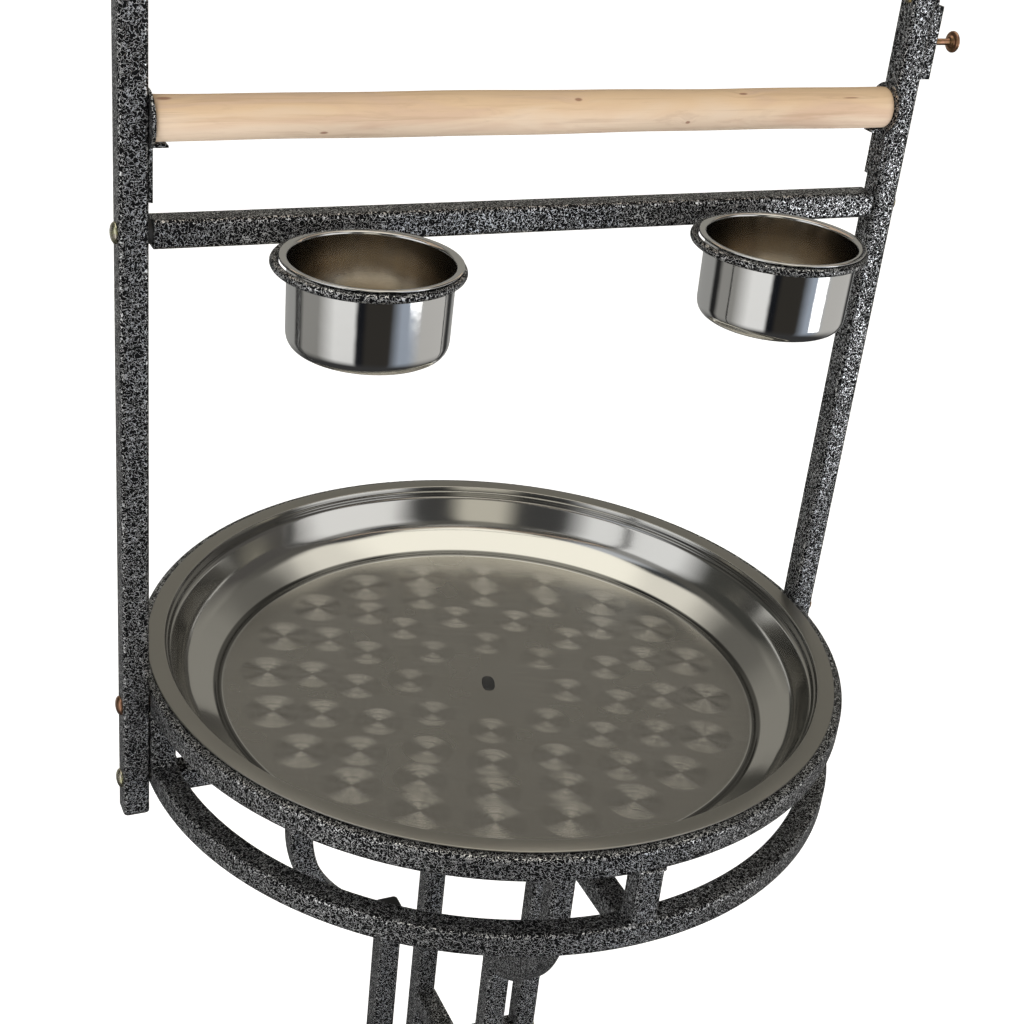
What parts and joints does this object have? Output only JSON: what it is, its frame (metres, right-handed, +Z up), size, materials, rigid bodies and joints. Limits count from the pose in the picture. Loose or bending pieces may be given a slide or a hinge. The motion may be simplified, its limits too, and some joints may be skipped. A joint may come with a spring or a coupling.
{
  "type": "parrot play stand",
  "caption": "Tall square-tube bird play stand on castors: round seed tray, wooden perch, lift-out food cups in loops, closing top arch and a swinging toy arm.",
  "frame": {"origin": "on the floor, under the centre of the rings", "axes": "+Z up, +X to the toy-arm side, -Y to the front where the cups hang"},
  "size_m": [0.564, 0.564, 1.6105],
  "materials": {
    "frame_paint": "black and silver hammertone powder coat",
    "stainless": "polished outside, satin inside",
    "wood": "sanded pale softwood",
    "zinc": "bright zinc plate",
    "yellow_zinc": "yellow zinc plate",
    "copper_zinc": "copper-coloured plate",
    "black_plastic": "moulded",
    "castor_tread": "moulded castor wheel"
  },
  "bodies": {
    "stand": {"upper_ring": "frame_paint", "lower_ring": "frame_paint", "ring_stub_left": "frame_paint", "ring_stub_front": "frame_paint", "ring_stub_right": "frame_paint", "ring_stub_back": "frame_paint", "low_bar_across": "frame_paint", "low_bar_front": "frame_paint", "low_bar_back": "frame_paint", "scroll_bracket_left": "frame_paint", "scroll_bracket_front": "frame_paint", "scroll_bracket_right": "frame_paint", "scroll_bracket_back": "frame_paint", "column_left": "frame_paint", "column_front": "frame_paint", "column_right": "frame_paint", "column_back": "frame_paint", "column_spacer_upper": "frame_paint", "column_spacer_lower": "frame_paint", "leg_left": "frame_paint", "leg_front": "frame_paint", "leg_right": "frame_paint", "leg_back": "frame_paint", "castor_sockets": "zinc", "left_upright": "frame_paint", "right_upright": "frame_paint", "top_arch": "frame_paint", "arch_joiners": "frame_paint", "upright_bolts": "yellow_zinc", "ring_nuts": "zinc", "rail_spacers": "black_plastic", "rail_plugs": "black_plastic", "arch_bolts": "yellow_zinc", "column_bolts": "yellow_zinc", "tube_caps": "black_plastic", "cup_rail": "frame_paint", "cup_loop_left": "frame_paint", "cup_loop_right": "frame_paint", "perch": "wood", "perch_bracket_left": "frame_paint", "perch_bracket_right": "frame_paint", "perch_screws": "zinc", "arm_sleeve": "frame_paint"},
    "castor_left": {"castor_fork_left": "zinc", "castor_axle_left": "zinc"},
    "wheel_left": {"castor_wheel_left": "castor_tread"},
    "castor_front": {"castor_fork_front": "zinc", "castor_axle_front": "zinc"},
    "wheel_front": {"castor_wheel_front": "castor_tread"},
    "castor_right": {"castor_fork_right": "zinc", "castor_axle_right": "zinc"},
    "wheel_right": {"castor_wheel_right": "castor_tread"},
    "castor_back": {"castor_fork_back": "zinc", "castor_axle_back": "zinc"},
    "wheel_back": {"castor_wheel_back": "castor_tread"},
    "food_cup_left": {"food_cup_left": "stainless"},
    "food_cup_right": {"food_cup_right": "stainless"},
    "thumbscrew": {"thumbscrew": "copper_zinc"},
    "toy_arm": {"toy_arm": "frame_paint"},
    "tray": {"tray": "stainless"}
  },
  "joints": [
    {"name": "castor_left_swivel", "type": "hinge", "parent": "stand", "child": "castor_left", "pos_m": [-0.235, 0, 0.08], "axis": [0, 0, 1], "continuous": true},
    {"name": "wheel_left_spin", "type": "hinge", "parent": "castor_left", "child": "wheel_left", "pos_m": [-0.257, 0, 0.025], "axis": [0, 1, 0], "continuous": true},
    {"name": "castor_front_swivel", "type": "hinge", "parent": "stand", "child": "castor_front", "pos_m": [0, -0.235, 0.08], "axis": [0, 0, 1], "continuous": true},
    {"name": "wheel_front_spin", "type": "hinge", "parent": "castor_front", "child": "wheel_front", "pos_m": [0, -0.257, 0.025], "axis": [1, 0, 0], "continuous": true},
    {"name": "castor_right_swivel", "type": "hinge", "parent": "stand", "child": "castor_right", "pos_m": [0.235, 0, 0.08], "axis": [0, 0, 1], "continuous": true},
    {"name": "wheel_right_spin", "type": "hinge", "parent": "castor_right", "child": "wheel_right", "pos_m": [0.257, 0, 0.025], "axis": [0, 1, 0], "continuous": true},
    {"name": "castor_back_swivel", "type": "hinge", "parent": "stand", "child": "castor_back", "pos_m": [0, 0.235, 0.08], "axis": [0, 0, 1], "continuous": true},
    {"name": "wheel_back_spin", "type": "hinge", "parent": "castor_back", "child": "wheel_back", "pos_m": [0, 0.257, 0.025], "axis": [1, 0, 0], "continuous": true},
    {"name": "food_cup_left_lift", "type": "slide", "parent": "stand", "child": "food_cup_left", "axis": [0, 0, 1], "range_m": [0, 0.05]},
    {"name": "food_cup_right_lift", "type": "slide", "parent": "stand", "child": "food_cup_right", "axis": [0, 0, 1], "range_m": [0, 0.05]},
    {"name": "tray_lift", "type": "slide", "parent": "stand", "child": "tray", "axis": [0, 0, 1], "range_m": [0, 0.15]},
    {"name": "toy_arm_swing", "type": "hinge", "parent": "stand", "child": "toy_arm", "pos_m": [0.2511, 0, 1.269], "axis": [0, 0, 1], "range_deg": [-30, 210]},
    {"name": "thumbscrew_turn", "type": "hinge", "parent": "stand", "child": "thumbscrew", "pos_m": [0.2556, 0, 1.269], "axis": [1, 0, 0], "range_deg": [-30, 720]}
  ]
}
